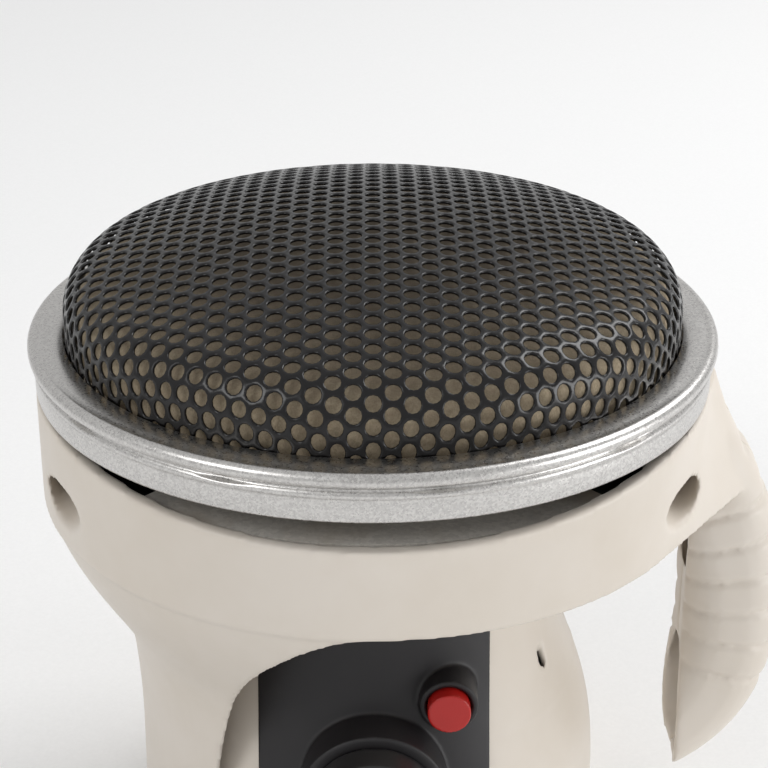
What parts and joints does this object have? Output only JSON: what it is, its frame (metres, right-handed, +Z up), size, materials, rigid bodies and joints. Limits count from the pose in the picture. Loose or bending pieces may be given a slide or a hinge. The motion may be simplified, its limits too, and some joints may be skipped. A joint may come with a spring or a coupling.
{
  "type": "portable catalytic heater",
  "caption": "Hand-carried flameless gas heater: domed perforated guard in a steel ring, moulded housing with a loop handle, and a barrel that fits over a gas cylinder.",
  "frame": {"origin": "centre of the mouth of the cylinder thread, on the common axis of head, barrel and thread", "axes": "+Z up along that axis, out of the domed guard; +X towards the carrying handle; -Y towards the control panel"},
  "size_m": [0.2011, 0.178, 0.1805],
  "materials": {
    "guard": "heat-proof gloss black enamel",
    "aluminised_steel": "mottled, satin",
    "catalyst_felt": "matt fibre felt",
    "inner_steel": "plain",
    "ceramic_mat": "matt ceramic fibre",
    "shield_steel": "dull grey",
    "liner_plastic": "black, moulded",
    "screw_steel": "zinc plated",
    "housing_plastic": "fine moulded satin, warm grey",
    "barrel_plastic": "fine moulded satin, warm grey",
    "panel_plastic": "satin black",
    "regulator_zinc": "die cast",
    "gasket_rubber": "soft",
    "brass": "turned",
    "knob_plastic": "satin black",
    "button_plastic": "gloss red",
    "sleeve_ceramic": "glazed",
    "lead_rubber": "silicone"
  },
  "bodies": {
    "root": {"guard_screen": "guard", "retaining_ring": "aluminised_steel", "catalyst_pad": "catalyst_felt", "diffuser_screen": "inner_steel", "insulation_mat": "ceramic_mat", "burner_pan": "aluminised_steel", "heat_shield": "shield_steel", "inner_liner": "liner_plastic", "shield_spacers": "inner_steel", "head_posts": "inner_steel", "head_screws": "screw_steel", "housing_front": "housing_plastic", "housing_rear": "housing_plastic", "housing_screws": "screw_steel", "barrel": "barrel_plastic", "control_panel": "panel_plastic", "barrel_screws": "screw_steel", "regulator": "regulator_zinc", "cylinder_gasket": "gasket_rubber", "depressor_pin": "brass", "regulator_plate": "shield_steel", "plate_screws": "screw_steel", "regulator_nut": "screw_steel", "gas_jet": "brass", "mixing_tube": "aluminised_steel", "valve_body": "brass", "valve_nut": "screw_steel", "piezo_igniter": "liner_plastic", "spark_electrode": "screw_steel", "electrode_sleeve": "sleeve_ceramic", "igniter_lead": "lead_rubber"},
    "knob": {"control_knob": "knob_plastic", "valve_stem": "screw_steel"},
    "button": {"igniter_button": "button_plastic", "piezo_plunger": "button_plastic"}
  },
  "joints": [
    {"name": "knob_turn", "type": "hinge", "parent": "root", "child": "knob", "pos_m": [0, -0.06, 0.008], "axis": [0, -1, 0], "range_deg": [-200, 0]},
    {"name": "igniter_press", "type": "slide", "parent": "root", "child": "button", "axis": [0, 1, 0], "range_m": [0, 0.005], "stiffness_N_per_m": 1500, "springref_m": -0.002}
  ]
}
